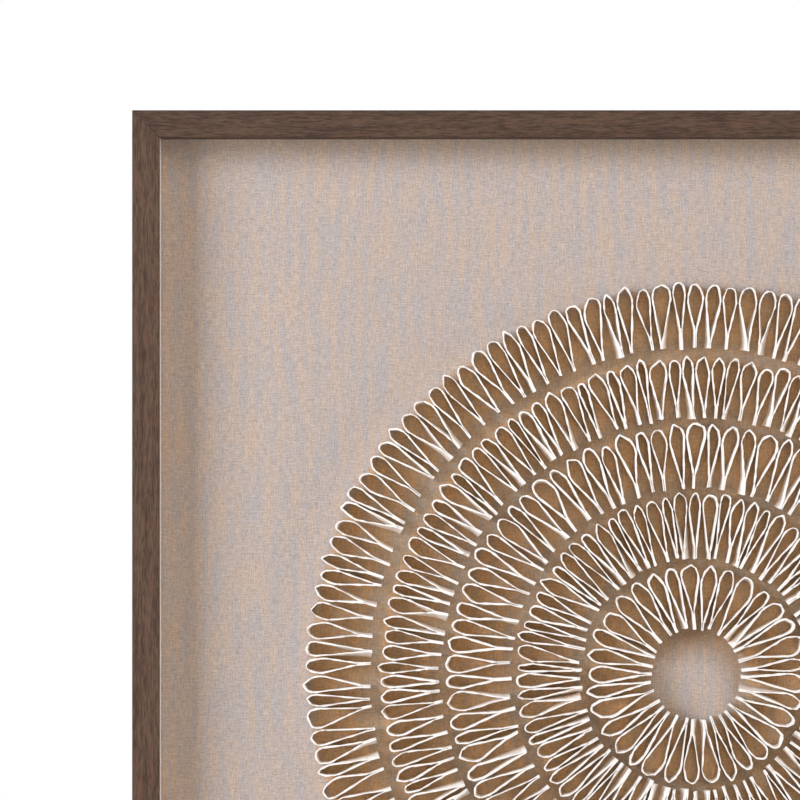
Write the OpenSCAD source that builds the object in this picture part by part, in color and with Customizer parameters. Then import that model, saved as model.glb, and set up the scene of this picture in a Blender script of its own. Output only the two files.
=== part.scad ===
// Paper shadow box art: a deep mitred frame round a linen-covered board, with rings of
// looped paper strips standing on edge on the linen.
// Everything is drawn lying on its back (X right, Y up the picture, Z towards the viewer,
// Z zero at the back of the rails) and then stood upright, facing -Y, on the bottom rail.

/* [Frame] */
// Overall width of the frame
frame_w = 650; // [560:5:900]
// Overall height of the frame
frame_h = 650; // [560:5:900]
// Width of a rail's front face
rail_w = 16; // [13:0.5:30]
// Depth of a rail from its front face to its back
rail_depth = 36; // [30:1:60]
// Width of the step at the back of a rail that takes the board
rebate_w = 6; // [4:0.5:6]
// Radius of a rail's two front edges
arris_r = 0.8; // [0.4:0.1:2]

/* [Board and linen] */
// Thickness of the board under the linen
board_t = 3; // [2:0.25:6]
// Thickness of the linen cloth
linen_t = 0.6; // [0.4:0.1:0.9]
// Width of linen turned over onto the back of the board
hem_w = 22; // [12:1:60]
// Thickness of the hardboard back cover
back_t = 2.5; // [1.5:0.25:5]
// Room left round the covered board inside the step
board_play = 0.5; // [0.3:0.1:1]
// Depth left empty behind the retaining points
back_setback = 2.8; // [1.5:0.1:8]

/* [Paper loops] */
// Height that a paper strip stands off the linen
strip_h = 13; // [8:0.5:16]
// Thickness of a paper strip
strip_t = 0.7; // [0.5:0.05:1.2]
// Radius of the bare eye in the middle of the rings
eye_r = 25.4; // [22:0.2:36]
// Distance from one ring of loops to the next
ring_pitch = 40.5; // [32:0.1:46]
// Bare band of linen between two inner rings
ring_gap = 1; // [0.9:0.1:6]
// Bare band of linen inside the outer ring
outer_gap = 3.6; // [0.9:0.1:8]
// Loops in the outer ring
outer_count = 134; // [100:1:150]
// Loops in the second ring
second_count = 124; // [90:1:130]
// Loops in the middle ring
middle_count = 82; // [60:1:100]
// Loops in the fourth ring
fourth_count = 74; // [50:1:80]
// Loops in the inner ring
inner_count = 33; // [24:1:38]
// Sideways room between neighbouring loops
loop_gap = 0.1; // [0.1:0.02:0.4]
// Hairline between the two plies of a loop's tail
ply_gap = 0.1; // [0.06:0.02:0.3]

/* [Hardware] */
// Length of a sawtooth hanger
hanger_l = 45; // [36:1:60]
// Height of a sawtooth hanger's strip
hanger_h = 8; // [6:0.5:8]
// Thickness of the hanger's steel
hanger_t = 0.8; // [0.6:0.1:1]
// How far the toothed middle stands off the rail
hanger_rise = 2; // [1.5:0.1:2.2]
// Distance between the two hangers
hanger_spacing = 320; // [120:10:440]
// Pitch of the hanger's teeth
tooth_pitch = 2.5; // [2:0.1:4]
// Diameter of a hanger nail's shank
nail_d = 1.6; // [1.2:0.1:2]
// Length of a hanger nail's shank
nail_l = 10; // [8:0.5:14]
// Length of a retaining point
point_l = 15; // [13:0.5:20]
// Width of a retaining point
point_w = 7; // [5:0.5:10]
// Retaining points on each rail
points_per_rail = 3; // [2:1:5]
// Thickness of the points and of the corner nails
sheet_t = 0.5; // [0.4:0.1:0.8]
// Depth that a corner nail is pressed in
corner_nail_l = 8; // [6:0.5:9]
// Diameter of a wall bumper
bumper_d = 9; // [6:0.5:9]
// Thickness of a wall bumper
bumper_t = 3; // [3:0.25:6]
// Clearance round a nail or point in the wood
drive_clear = 0.05; // [0.02:0.01:0.1]

/* [Hidden] */
$fn = 48;

// Levels above the back of the rails
back_z = back_setback + sheet_t;
hem_z = back_z + back_t;
board_z = hem_z + linen_t;
linen_z = board_z + board_t + linen_t;
recess = rail_depth - linen_z;

// Widths across a rail and sizes of what sits in its step
back_face_w = rail_w - rebate_w;
cover_w = frame_w - 2 * (back_face_w + board_play);
cover_h = frame_h - 2 * (back_face_w + board_play);
overlap = 1;

// Rings of loops, counted from the outside
ring_counts = [outer_count, second_count, middle_count, fourth_count, inner_count];
ring_total = len(ring_counts);
function ring_tail_r(ring) = eye_r + (ring_total - 1 - ring) * ring_pitch;
function ring_tip_r(ring) = ring_tail_r(ring) + ring_pitch - (ring == 1 ? outer_gap : ring_gap);

// Hand-made unevenness of the loops: shares of a loop's reach or of its cell, lowest and highest
cell_play = 0.34;
tail_share = [0, 0.05];
tip_share = [0.95, 1];
pinch_share = [0.08, 0.28];
shoulder_share = [0.7, 0.85];
crest_share = [0.5, 0.74];
crest_width = [0.46, 0.84];
belly_share = [0.96, 1];
tip_place = [0.24, 0.76];
tail_sway = 0.8;
pinch_pull = 1.5;

// Multipliers that scatter the unevenness without a repeat
golden = 0.6180339887;
plastic = 0.7548776662;
silver = 0.5698402910;

// Hanger, points and nails
foot_l = 8;
ramp_l = 2.5;
tooth_depth = 1.5;
tooth_margin = 2;
nail_head_d = 3.6;
nail_head_t = 0.7;
nail_inset = 4;
point_bite = 6;
point_margin = 70;
bumper_inset = 12;
bumper_soft = 0.6;
corner_nail_leg = [3, 7.8];
corner_nail_apex = 6.5;
corner_nail_base = 10;

function mix(range, t) = range[0] + (range[1] - range[0]) * t;
function frac(x) = x - floor(x);
function scatter(k, salt) = frac(k * k * golden + k * salt * plastic + salt * silver);

// Unit normal on the left of the step from a to b
function left_normal(a, b) = [a.y - b.y, b.x - a.x] / norm(b - a);

// Offset direction at point i of a path, mitred where two steps meet
function mitre_normal(path, i) =
    let(last = len(path) - 1,
        before = left_normal(path[max(0, i - 1)], path[max(1, i)]),
        after = left_normal(path[min(last - 1, i)], path[min(last, i + 1)]))
    (before + after) / (1 + before * after);

// Closed outline of a strip of thickness t bent along a path
function strip_outline(path, t) = concat(
    [for (i = [0 : len(path) - 1]) path[i] + mitre_normal(path, i) * t / 2],
    [for (i = [len(path) - 1 : -1 : 0]) path[i] - mitre_normal(path, i) * t / 2]);

// Stands what is drawn on its back upright, facing -Y, with its box centred on the origin
module stand() {
    translate([0, (rail_depth - bumper_t) / 2, frame_h / 2]) rotate([90, 0, 0]) children();
}

// Section of a rail: X is across it from the outer edge, Y is up from its back
module rail_section() {
    union() {
        polygon([[0, 0], [back_face_w, 0], [back_face_w, linen_z], [rail_w, linen_z],
            [rail_w, rail_depth - arris_r], [0, rail_depth - arris_r]]);
        translate([arris_r, linen_z]) square([rail_w - 2 * arris_r, recess]);
        for (x = [arris_r, rail_w - arris_r]) translate([x, rail_depth - arris_r]) circle(arris_r);
    }
}

// A rail of the given length, its outer edge on Y zero, with both ends mitred
module rail_blank(length) {
    intersection() {
        translate([-length / 2, 0, 0]) rotate([90, 0, 90]) linear_extrude(length) rail_section();
        translate([0, 0, -overlap]) linear_extrude(rail_depth + 2 * overlap)
            polygon([[-length / 2, 0], [length / 2, 0],
                [length / 2 - rail_w, rail_w], [-length / 2 + rail_w, rail_w]]);
    }
}

// Places of the retaining points along a rail of the given length
function point_places(length) =
    [for (i = [0 : points_per_rail - 1])
        -length / 2 + point_margin + i * (length - 2 * point_margin) / (points_per_rail - 1)];

// A retaining point driven into the step of a rail, grown all round by a clearance
module retaining_point(clear) {
    translate([-point_w / 2 - clear, back_face_w - point_bite - clear, back_z - sheet_t - clear])
        cube([point_w + 2 * clear, point_l + clear, sheet_t + 2 * clear]);
}

// A corner nail across the mitre at a rail's left end, grown all round by a clearance
module corner_nail(length, clear) {
    leg = corner_nail_leg * back_face_w / corner_nail_base;
    apex = corner_nail_apex * back_face_w / corner_nail_base;
    translate([-length / 2, 0, 0]) linear_extrude(corner_nail_l + clear)
        polygon(strip_outline([leg, [apex, apex], [leg.y, leg.x]], sheet_t + 2 * clear));
}

// A mitred rail with the slots for its points and for the corner nails at both ends
module rail(length) {
    color("#66503f") difference() {
        rail_blank(length);
        for (x = point_places(length)) translate([x, 0, 0]) retaining_point(drive_clear);
        for (end = [0, 1]) mirror([end, 0, 0]) corner_nail(length, drive_clear);
    }
}

// Turns a rail lying on the bottom edge to the side at the given angle
module at_side(angle) {
    reach = angle % 180 == 0 ? frame_h : frame_w;
    rotate(angle) translate([0, -reach / 2, 0]) children();
}

function side_length(angle) = angle % 180 == 0 ? frame_w : frame_h;

// Places of the hanger nails along the top rail
hanger_places = [-hanger_spacing / 2, hanger_spacing / 2];
nail_offsets = [-hanger_l / 2 + nail_inset, hanger_l / 2 - nail_inset];

// A hanger nail with its head on the outside of the hanger's foot
module hanger_nail(clear) {
    translate([0, 0, -hanger_t]) cylinder(d = nail_d + 2 * clear, h = nail_l + clear);
    translate([0, 0, -hanger_t - nail_head_t]) cylinder(d = nail_head_d, h = nail_head_t);
}

module at_hanger_nails() {
    for (place = hanger_places, offset = nail_offsets)
        translate([place + offset, frame_h / 2 - back_face_w / 2, 0]) children();
}

module frame_rail_top() {
    stand() difference() {
        at_side(180) rail(side_length(180));
        color("#66503f") at_hanger_nails() hanger_nail(drive_clear);
    }
}

module frame_rail_bottom() { stand() at_side(0) rail(side_length(0)); }

module frame_rail_left() { stand() at_side(270) rail(side_length(270)); }

module frame_rail_right() { stand() at_side(90) rail(side_length(90)); }

module corner_nails() {
    color("silver") stand()
        for (angle = [0 : 90 : 270]) at_side(angle) corner_nail(side_length(angle), 0);
}

// A slab of the given size, its lower face at z
module slab(w, h, z, t) {
    translate([-w / 2, -h / 2, z]) cube([w, h, t]);
}

// Linen drawn over the front and edges of the board and turned onto its back
module linen_cover() {
    color("#c4b6ae") stand() difference() {
        slab(cover_w, cover_h, hem_z, linen_z - hem_z);
        slab(cover_w - 2 * linen_t, cover_h - 2 * linen_t, board_z, board_t);
        slab(cover_w - 2 * hem_w, cover_h - 2 * hem_w, hem_z - overlap, board_z - hem_z + overlap);
    }
}

module mount_board() {
    color("#b3936b") stand() slab(cover_w - 2 * linen_t, cover_h - 2 * linen_t, board_z, board_t);
}

module back_cover() {
    color("#7a5a3c") stand() slab(cover_w, cover_h, back_z, back_t);
}

// Edge between cells k - 1 and k of a ring, as an angle
function cell_edge(k, ring) =
    let(n = ring_counts[ring])
    (k + cell_play * (scatter(k % n, ring + 1) - 0.5)) * 360 / n;

// Path of one folded strip: out from its tail, round the loop and back, with X along the radius
function loop_path(k, ring, half) =
    let(s = [for (i = [1 : 13]) scatter(k + 1, ring_total * i + ring)],
        tail_r = ring_tail_r(ring),
        reach = ring_tip_r(ring) - tail_r,
        start = tail_r + reach * mix(tail_share, s[0]),
        tip = tail_r + reach * mix(tip_share, s[1]),
        pinch = tail_r + reach * mix(pinch_share, s[2]),
        shoulders = [for (i = [3, 4]) tail_r + reach * mix(shoulder_share, s[i])],
        room = tan(half),
        edge = strip_t / 2 + loop_gap,
        bellies = [for (i = [0, 1]) (shoulders[i] * room - edge) * mix(belly_share, s[5 + i])],
        crests = [for (i = [0, 1]) shoulders[i] + (tip - shoulders[i]) * mix(crest_share, s[7 + i])],
        brows = [for (i = [0, 1]) bellies[i] * mix(crest_width, s[9 + i])],
        ply = (strip_t + ply_gap) / 2,
        tail_v = (2 * s[11] - 1) * tail_sway * max(0, start * room - edge - ply),
        pinch_v = tail_v * (1 - pinch_pull * (pinch - start) / reach),
        tip_v = -brows[1] + (brows[0] + brows[1]) * mix(tip_place, s[12]))
    [
        [start, tail_v + ply], [pinch, pinch_v + ply],
        [shoulders[0], bellies[0]], [crests[0], brows[0]], [tip, tip_v],
        [crests[1], -brows[1]], [shoulders[1], -bellies[1]],
        [pinch, pinch_v - ply], [start, tail_v - ply]
    ];

// One paper strip folded into a loop and stood on edge on the linen
module paper_loop(k, ring) {
    from = cell_edge(k, ring);
    to = cell_edge(k + 1, ring);
    rotate((from + to) / 2) translate([0, 0, linen_z]) linear_extrude(strip_h)
        polygon(strip_outline(loop_path(k, ring, (to - from) / 2), strip_t));
}

module loop_ring(ring) {
    color("#f9f2ed") stand() for (k = [0 : ring_counts[ring] - 1]) paper_loop(k, ring);
}

module retaining_points() {
    color("silver") stand()
        for (angle = [0 : 90 : 270]) at_side(angle)
            for (x = point_places(side_length(angle))) translate([x, 0, 0]) retaining_point(0);
}

// A steel strip with flat feet and a raised middle, its lower edge cut into teeth
module sawtooth_hanger(place) {
    foot = hanger_l / 2 - foot_l;
    flat = foot - ramp_l;
    level = -hanger_t / 2;
    raised = level - hanger_rise;
    low_edge = frame_h / 2 - (back_face_w + hanger_h) / 2;
    teeth = floor((2 * flat - tooth_margin) / tooth_pitch);
    path = [[-hanger_l / 2, level], [-foot, level], [-flat, raised],
        [flat, raised], [foot, level], [hanger_l / 2, level]];
    color("goldenrod") stand() difference() {
        translate([place, low_edge + hanger_h, 0]) rotate([90, 0, 0])
            linear_extrude(hanger_h) polygon(strip_outline(path, hanger_t));
        for (i = [0 : teeth - 1])
            translate([place + (i - (teeth - 1) / 2) * tooth_pitch, low_edge,
                raised - hanger_t / 2 - overlap])
                linear_extrude(hanger_t + 2 * overlap)
                    polygon([[-tooth_pitch / 2, -overlap], [tooth_pitch / 2, -overlap],
                        [tooth_pitch / 2, 0], [0, tooth_depth], [-tooth_pitch / 2, 0]]);
        at_hanger_nails() hanger_nail(drive_clear);
    }
}

module hanger_left() { sawtooth_hanger(hanger_places[0]); }

module hanger_right() { sawtooth_hanger(hanger_places[1]); }

module hanger_nails() {
    color("silver") stand() at_hanger_nails() hanger_nail(0);
}

// A rubber disc with a softened outer edge on the back of the bottom rail
module wall_bumper(side) {
    color("#302c2a") stand()
        translate([side * (frame_w / 2 - bumper_inset), -frame_h / 2 + back_face_w / 2, -bumper_t])
            rotate_extrude() polygon([[0, 0], [bumper_d / 2 - bumper_soft, 0],
                [bumper_d / 2, bumper_soft], [bumper_d / 2, bumper_t], [0, bumper_t]]);
}

module wall_bumper_left() { wall_bumper(-1); }

module wall_bumper_right() { wall_bumper(1); }

frame_rail_top();
frame_rail_bottom();
frame_rail_left();
frame_rail_right();
corner_nails();
linen_cover();
mount_board();
back_cover();
loop_ring(0);  // loop_ring_outer
loop_ring(1);  // loop_ring_second
loop_ring(2);  // loop_ring_middle
loop_ring(3);  // loop_ring_fourth
loop_ring(4);  // loop_ring_inner
retaining_points();
hanger_left();
hanger_right();
hanger_nails();
wall_bumper_left();
wall_bumper_right();
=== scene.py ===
"""Looks of the paper shadow box art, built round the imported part.

The box stands on its bottom rail with its front towards -Y. Sizes are in millimetres, as in the
part's source, up to the point where a mesh is made: meshes are in metres, in the part's frame.
"""

import logging
import math
from dataclasses import dataclass, field
from enum import Enum
from typing import Sequence, Union

import bmesh
import bpy
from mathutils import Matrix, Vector


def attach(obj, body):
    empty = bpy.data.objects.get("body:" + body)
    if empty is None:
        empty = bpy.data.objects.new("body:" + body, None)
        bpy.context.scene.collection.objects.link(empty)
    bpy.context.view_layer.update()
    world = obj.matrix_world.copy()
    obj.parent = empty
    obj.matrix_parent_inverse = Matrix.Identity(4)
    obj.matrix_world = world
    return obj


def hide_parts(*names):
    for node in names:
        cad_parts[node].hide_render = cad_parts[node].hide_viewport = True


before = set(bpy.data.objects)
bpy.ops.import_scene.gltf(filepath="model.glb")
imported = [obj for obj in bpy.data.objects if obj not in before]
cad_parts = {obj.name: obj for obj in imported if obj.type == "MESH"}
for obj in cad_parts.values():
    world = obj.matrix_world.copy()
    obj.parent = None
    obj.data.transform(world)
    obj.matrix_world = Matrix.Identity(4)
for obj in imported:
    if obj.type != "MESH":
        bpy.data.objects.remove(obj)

MM = 0.001
BODY = "root"
Triple = tuple[float, float, float]
Colour = Triple
Pair = tuple[float, float]
Span = tuple[float, ...]
Socket = bpy.types.NodeSocket
Node = bpy.types.Node
Material = bpy.types.Material
Piece = bpy.types.Object
Feed = Union[Socket, float, int, str, bool, Sequence[float], bpy.types.ID]

log = logging.getLogger("shadow_box")


class Wiring:
    """Adds nodes to one tree and joins their sockets."""

    def __init__(self, tree: bpy.types.NodeTree) -> None:
        """Keeps the shader or geometry tree that the nodes go into."""
        self.tree = tree

    def feed(self, socket: Socket, value: Feed) -> None:
        """Joins another socket to an input, or sets the input's own value.

        Args:
            socket: The input.
            value: An output to join, or a plain value.
        """
        if isinstance(value, Socket):
            self.tree.links.new(value, socket)
        else:
            socket.default_value = value

    def add(self, kind: str, inputs: dict[Union[str, int], Feed] | None = None,
            **settings: object) -> Node:
        """Adds a node.

        Args:
            kind: The node's type name.
            inputs: Values or outputs for its inputs, by name or by place.
            **settings: The node's own options.

        Returns:
            The node.
        """
        node = self.tree.nodes.new(kind)
        for name, value in settings.items():
            setattr(node, name, value)
        for key, value in (inputs or {}).items():
            self.feed(node.inputs[key], value)
        return node

    def math(self, operation: str, a: Feed, b: Feed = 0.0) -> Socket:
        """Works out one step of arithmetic with an operation of the Math node."""
        return self.add("ShaderNodeMath", {0: a, 1: b}, operation=operation).outputs[0]

    def plus(self, a: Feed, b: Feed) -> Socket:
        """Adds two values."""
        return self.math("ADD", a, b)

    def minus(self, a: Feed, b: Feed) -> Socket:
        """Takes the second value from the first."""
        return self.math("SUBTRACT", a, b)

    def times(self, a: Feed, b: Feed) -> Socket:
        """Multiplies two values."""
        return self.math("MULTIPLY", a, b)

    def weigh(self, values: Sequence[Feed], weights: Sequence[float]) -> Socket:
        """Adds up values, each times its weight.

        Args:
            values: The values.
            weights: The weight of each.

        Returns:
            The sum.
        """
        total, *others = (self.times(value, weight) for value, weight in zip(values, weights))
        for other in others:
            total = self.plus(total, other)
        return total

    def vector(self, operation: str, a: Feed, b: Feed = (0.0, 0.0, 0.0)) -> Socket:
        """Works out one step of vector arithmetic; for SCALE the second value is the factor."""
        inputs = {0: a, "Scale" if operation == "SCALE" else 1: b}
        return self.add("ShaderNodeVectorMath", inputs, operation=operation).outputs["Vector"]

    def split(self, vector: Socket) -> tuple[Socket, ...]:
        """Gives a vector's X, Y and Z."""
        return tuple(self.add("ShaderNodeSeparateXYZ", {0: vector}).outputs)

    def join(self, x: Feed = 0.0, y: Feed = 0.0, z: Feed = 0.0) -> Socket:
        """Makes a vector of its X, Y and Z."""
        return self.add("ShaderNodeCombineXYZ", {0: x, 1: y, 2: z}).outputs[0]

    def grey(self, value: Socket) -> Socket:
        """Gives the grey of a value."""
        return self.add("ShaderNodeCombineColor", {0: value, 1: value, 2: value}).outputs[0]

    def pick(self, which: Socket, a: Socket, b: Socket) -> Socket:
        """Gives the first value where the choice is 0 and the second where it is 1."""
        return self.add("ShaderNodeMix", {0: which, 2: a, 3: b}).outputs[0]

    def span(self, value: Feed, low: float, high: float, to_low: float = 0.0,
             to_high: float = 1.0) -> Socket:
        """Maps a range of a value smoothly onto another range.

        Args:
            value: The value.
            low: Where the range starts.
            high: Where it ends; it may lie below low.
            to_low: The result at low and before.
            to_high: The result at high and after.

        Returns:
            The mapped value.
        """
        if low > high:
            low, high, to_low, to_high = high, low, to_high, to_low
        ends = {0: value, 1: low, 2: high, 3: to_low, 4: to_high}
        return self.add("ShaderNodeMapRange", ends, interpolation_type="SMOOTHSTEP").outputs[0]

    def span_mm(self, value: Feed, low: float, high: float, *ends: float) -> Socket:
        """Maps a length in metres as span does, with the range given in millimetres."""
        return self.span(value, low * MM, high * MM, *ends)

    def noise(self, vector: Feed, rate: float, detail: float = 2.0, roughness: float = 0.5) -> Socket:
        """Gives noise from 0 to 1, with so many features per unit of the vector."""
        inputs = {"Vector": vector, "Scale": rate, "Detail": detail, "Roughness": roughness}
        return self.add("ShaderNodeTexNoise", inputs).outputs[0]

    def blend(self, factor: Feed, a: Feed, b: Feed, mode: str = "MIX") -> Socket:
        """Blends two colours.

        Args:
            factor: The share of the second colour.
            a: The first colour.
            b: The second colour.
            mode: The blend mode.

        Returns:
            The blended colour.
        """
        node = self.add("ShaderNodeMix", {0: factor}, data_type="RGBA", blend_type=mode)
        for place, value in ((6, a), (7, b)):
            self.feed(node.inputs[place], (*value, 1.0) if isinstance(value, tuple) else value)
        return node.outputs[2]

    def bump(self, height: Feed, depth: float, strength: float = 1.0) -> Socket:
        """Turns a height from 0 to 1 into a surface normal, for a relief of a depth in millimetres."""
        inputs = {"Height": height, "Distance": depth * MM, "Strength": strength}
        return self.add("ShaderNodeBump", inputs).outputs[0]


@dataclass
class Coat:
    """A material under construction, with its tree and its shader."""

    material: Material
    wiring: Wiring
    shader: Node

    @classmethod
    def start(cls, name: str) -> "Coat":
        """Makes a new material with one plain shader.

        Args:
            name: The material's name.

        Returns:
            The coat.
        """
        material = bpy.data.materials.new(name)
        material.use_nodes = True
        return cls(material, Wiring(material.node_tree), material.node_tree.nodes["Principled BSDF"])

    @property
    def place(self) -> Socket:
        """The surface point in the part's frame, in metres."""
        return self.wiring.add("ShaderNodeTexCoord").outputs["Object"]

    def set(self, **sockets: Feed) -> Material:
        """Sets shader inputs, by name with underscores for spaces.

        Args:
            **sockets: A value or output for each input.

        Returns:
            The finished material.
        """
        for name, value in sockets.items():
            socket = self.shader.inputs[name.replace("_", " ")]
            self.wiring.feed(socket, (*value, 1.0) if isinstance(value, tuple) else value)
        return self.material


@dataclass(frozen=True)
class Mottle:
    """An uneven tone made of noise.

    Attributes:
        rates: Its features per metre along each axis.
        shift: Where in the noise it is read.
        detail: Octaves above the first.
        roughness: Strength of each octave against the one before.
    """

    rates: Triple
    shift: Triple = (0.0, 0.0, 0.0)
    detail: float = 2.0
    roughness: float = 0.5

    def read(self, wire: Wiring, place: Socket) -> Socket:
        """Gives the tone, from 0 to 1, at a place in metres."""
        spot = wire.add("ShaderNodeMapping", {"Vector": place, "Scale": self.rates, "Location": self.shift})
        return wire.noise(spot.outputs[0], 1.0, self.detail, self.roughness)


class Grain(Enum):
    """Which way the grain of a rail runs."""

    LEVEL = "level"
    UPRIGHT = "upright"


@dataclass(frozen=True)
class Streak:
    """Streaks along the grain of wood: their length and width, and their own part of the noise."""

    length: float
    width: float
    seed: float
    spread: Triple = (1.0, 2.3, 1.7)

    def read(self, wire: Wiring, place: Socket, grain: Grain) -> Socket:
        """Gives the streaks' tone on a rail.

        Args:
            wire: The material's wiring.
            place: The surface point.
            grain: The way the rail's grain runs.

        Returns:
            The tone, from 0 to 1.
        """
        long, thin = 1.0 / (self.length * MM), 1.0 / (self.width * MM)
        rates = (long, thin, thin) if grain is Grain.LEVEL else (thin, thin, long)
        shift = tuple(self.seed * part for part in self.spread)
        return Mottle(rates, shift, roughness=0.6).read(wire, place)


@dataclass(frozen=True)
class BoxSizes:
    """Main sizes of the box in millimetres, as the part's source has them."""

    side: float = 650.0
    rail_w: float = 16.0
    rail_depth: float = 36.0
    back_face_w: float = 10.0
    board_play: float = 0.5
    hem_level: float = 5.8
    linen_level: float = 10.0
    linen_t: float = 0.6
    hem_w: float = 22.0
    bumper_t: float = 3.0
    strip_h: float = 13.0
    eye_r: float = 25.4
    ring_pitch: float = 40.5

    @property
    def stand_y(self) -> float:
        """Depth of the rails' back in the part's frame."""
        return (self.rail_depth - self.bumper_t) / 2

    @property
    def middle(self) -> float:
        """Height of the middle of the box."""
        return self.side / 2

    @property
    def sight(self) -> float:
        """Half the width of the opening between the rails."""
        return self.side / 2 - self.rail_w

    @property
    def front_y(self) -> float:
        """Depth of the rails' front in the part's frame."""
        return self.stand_y - self.rail_depth

    @property
    def linen_y(self) -> float:
        """Depth of the linen's front in the part's frame."""
        return self.stand_y - self.linen_level

    def upright(self, x: float, y: float, level: float) -> Vector:
        """Takes a point of the box on its back, measured from the middle, to the part's frame in metres."""
        return Vector((x, self.stand_y - level, y + self.middle)) * MM


BOX = BoxSizes()


@dataclass(frozen=True)
class RailWood:
    """Brown open-grained wood of the rails; the level rails are painted darker, and only the upright ones
    get a pale inner wall as painted light.
    """

    dark: Colour = (0.059, 0.034, 0.023)
    light: Colour = (0.131, 0.077, 0.052)
    red: Colour = (0.150, 0.074, 0.046)
    edge: Colour = (0.040, 0.023, 0.016)
    # Painted light: the pale colour of the upright rails' inner walls.
    lit_lip: Colour = (0.95, 0.92, 0.90)
    joint: Colour = (0.026, 0.015, 0.010)
    level_painted_shade: float = 0.86
    bands: Streak = Streak(60.0, 3.6, 1.0)
    fibres: Streak = Streak(9.0, 0.8, 4.0)
    pores: Streak = Streak(3.6, 0.55, 9.0)
    flush: Streak = Streak(12.0, 1.5, 15.0)
    figure_weights: Span = (0.35, 0.65)
    figure_span: Span = (0.38, 0.62)
    flush_span: Span = (0.50, 0.68, 0.0, 0.65)
    pore_span: Span = (0.54, 0.68, 0.0, 0.6)
    rough_span: Span = (0.3, 0.7, 0.62, 0.50)
    edge_w: float = 1.3
    inner_edge: float = 0.3
    outer_wear: float = 0.5
    inner_wear: float = 0.3
    seam_w: Pair = (0.5, 0.12)
    seam_open: Pair = (10.5, 4.5)
    seam_closed: float = 0.12
    lip_skin: Pair = (0.06, 0.02)
    lip_depth: float = 25.0
    lip_fade: float = 1.5
    lip_span: Span = (0.5, 0.8, 0.0, 0.3)
    pore_sink: float = 0.6
    relief: float = 0.12

    def material(self, grain: Grain) -> Material:
        """Builds the wood for rails whose grain runs one way.

        Args:
            grain: The way the grain runs.

        Returns:
            The material.
        """
        coat = Coat.start(f"rail_wood_{grain.value}")
        wire = coat.wiring
        level = grain is Grain.LEVEL
        place = coat.place
        x, y, z = wire.split(place)
        side_x = wire.math("ABSOLUTE", x)
        side_z = wire.math("ABSOLUTE", wire.minus(z, BOX.middle * MM))
        across, along = (side_z, side_x) if level else (side_x, side_z)
        streaks = (self.bands, self.fibres, self.pores, self.flush)
        bands, fibres, pores, flush = (streak.read(wire, place, grain) for streak in streaks)
        figure = wire.weigh((bands, fibres), self.figure_weights)
        tone = wire.blend(wire.span(figure, *self.figure_span), self.dark, self.light)
        tone = wire.blend(wire.span(flush, *self.flush_span), tone, self.red)
        tone = wire.blend(wire.span(pores, *self.pore_span), tone, self.edge)
        # Painted shade: the level rails are made darker than the upright ones.
        if level:
            tone = wire.blend(1.0, tone, (self.level_painted_shade,) * 3, "MULTIPLY")
        outer = wire.span_mm(across, BOX.side / 2 - self.edge_w, BOX.side / 2, 0.0, self.outer_wear)
        inner = wire.span_mm(across, BOX.sight + self.edge_w, BOX.sight + self.inner_edge, 0.0,
                             self.inner_wear)
        tone = wire.blend(wire.math("MAXIMUM", outer, inner), tone, self.edge)
        seam = wire.span_mm(wire.math("ABSOLUTE", wire.minus(across, along)), *self.seam_w)
        closed, opened = (BOX.sight + end for end in self.seam_open)
        gape = wire.span_mm(across, closed, opened, self.seam_closed)
        tone = wire.blend(wire.times(seam, gape), tone, self.joint)
        # Painted light: only the upright rails' inner walls are made pale, as lit walls; the level rails'
        # walls stay brown, as if in shade.
        if not level:
            wall = wire.span_mm(across, *(BOX.sight + skin for skin in self.lip_skin))
            depth = BOX.front_y + self.lip_depth
            shown = wire.times(wall, wire.span_mm(y, depth + self.lip_fade, depth))
            pale = wire.blend(wire.span(fibres, *self.lip_span), self.lit_lip, self.light)
            tone = wire.blend(shown, tone, pale)
        relief = wire.minus(fibres, wire.times(pores, self.pore_sink))
        return coat.set(Base_Color=tone, Roughness=wire.span(fibres, *self.rough_span),
                        Normal=wire.bump(relief, self.relief), Specular_IOR_Level=0.16)


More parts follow.
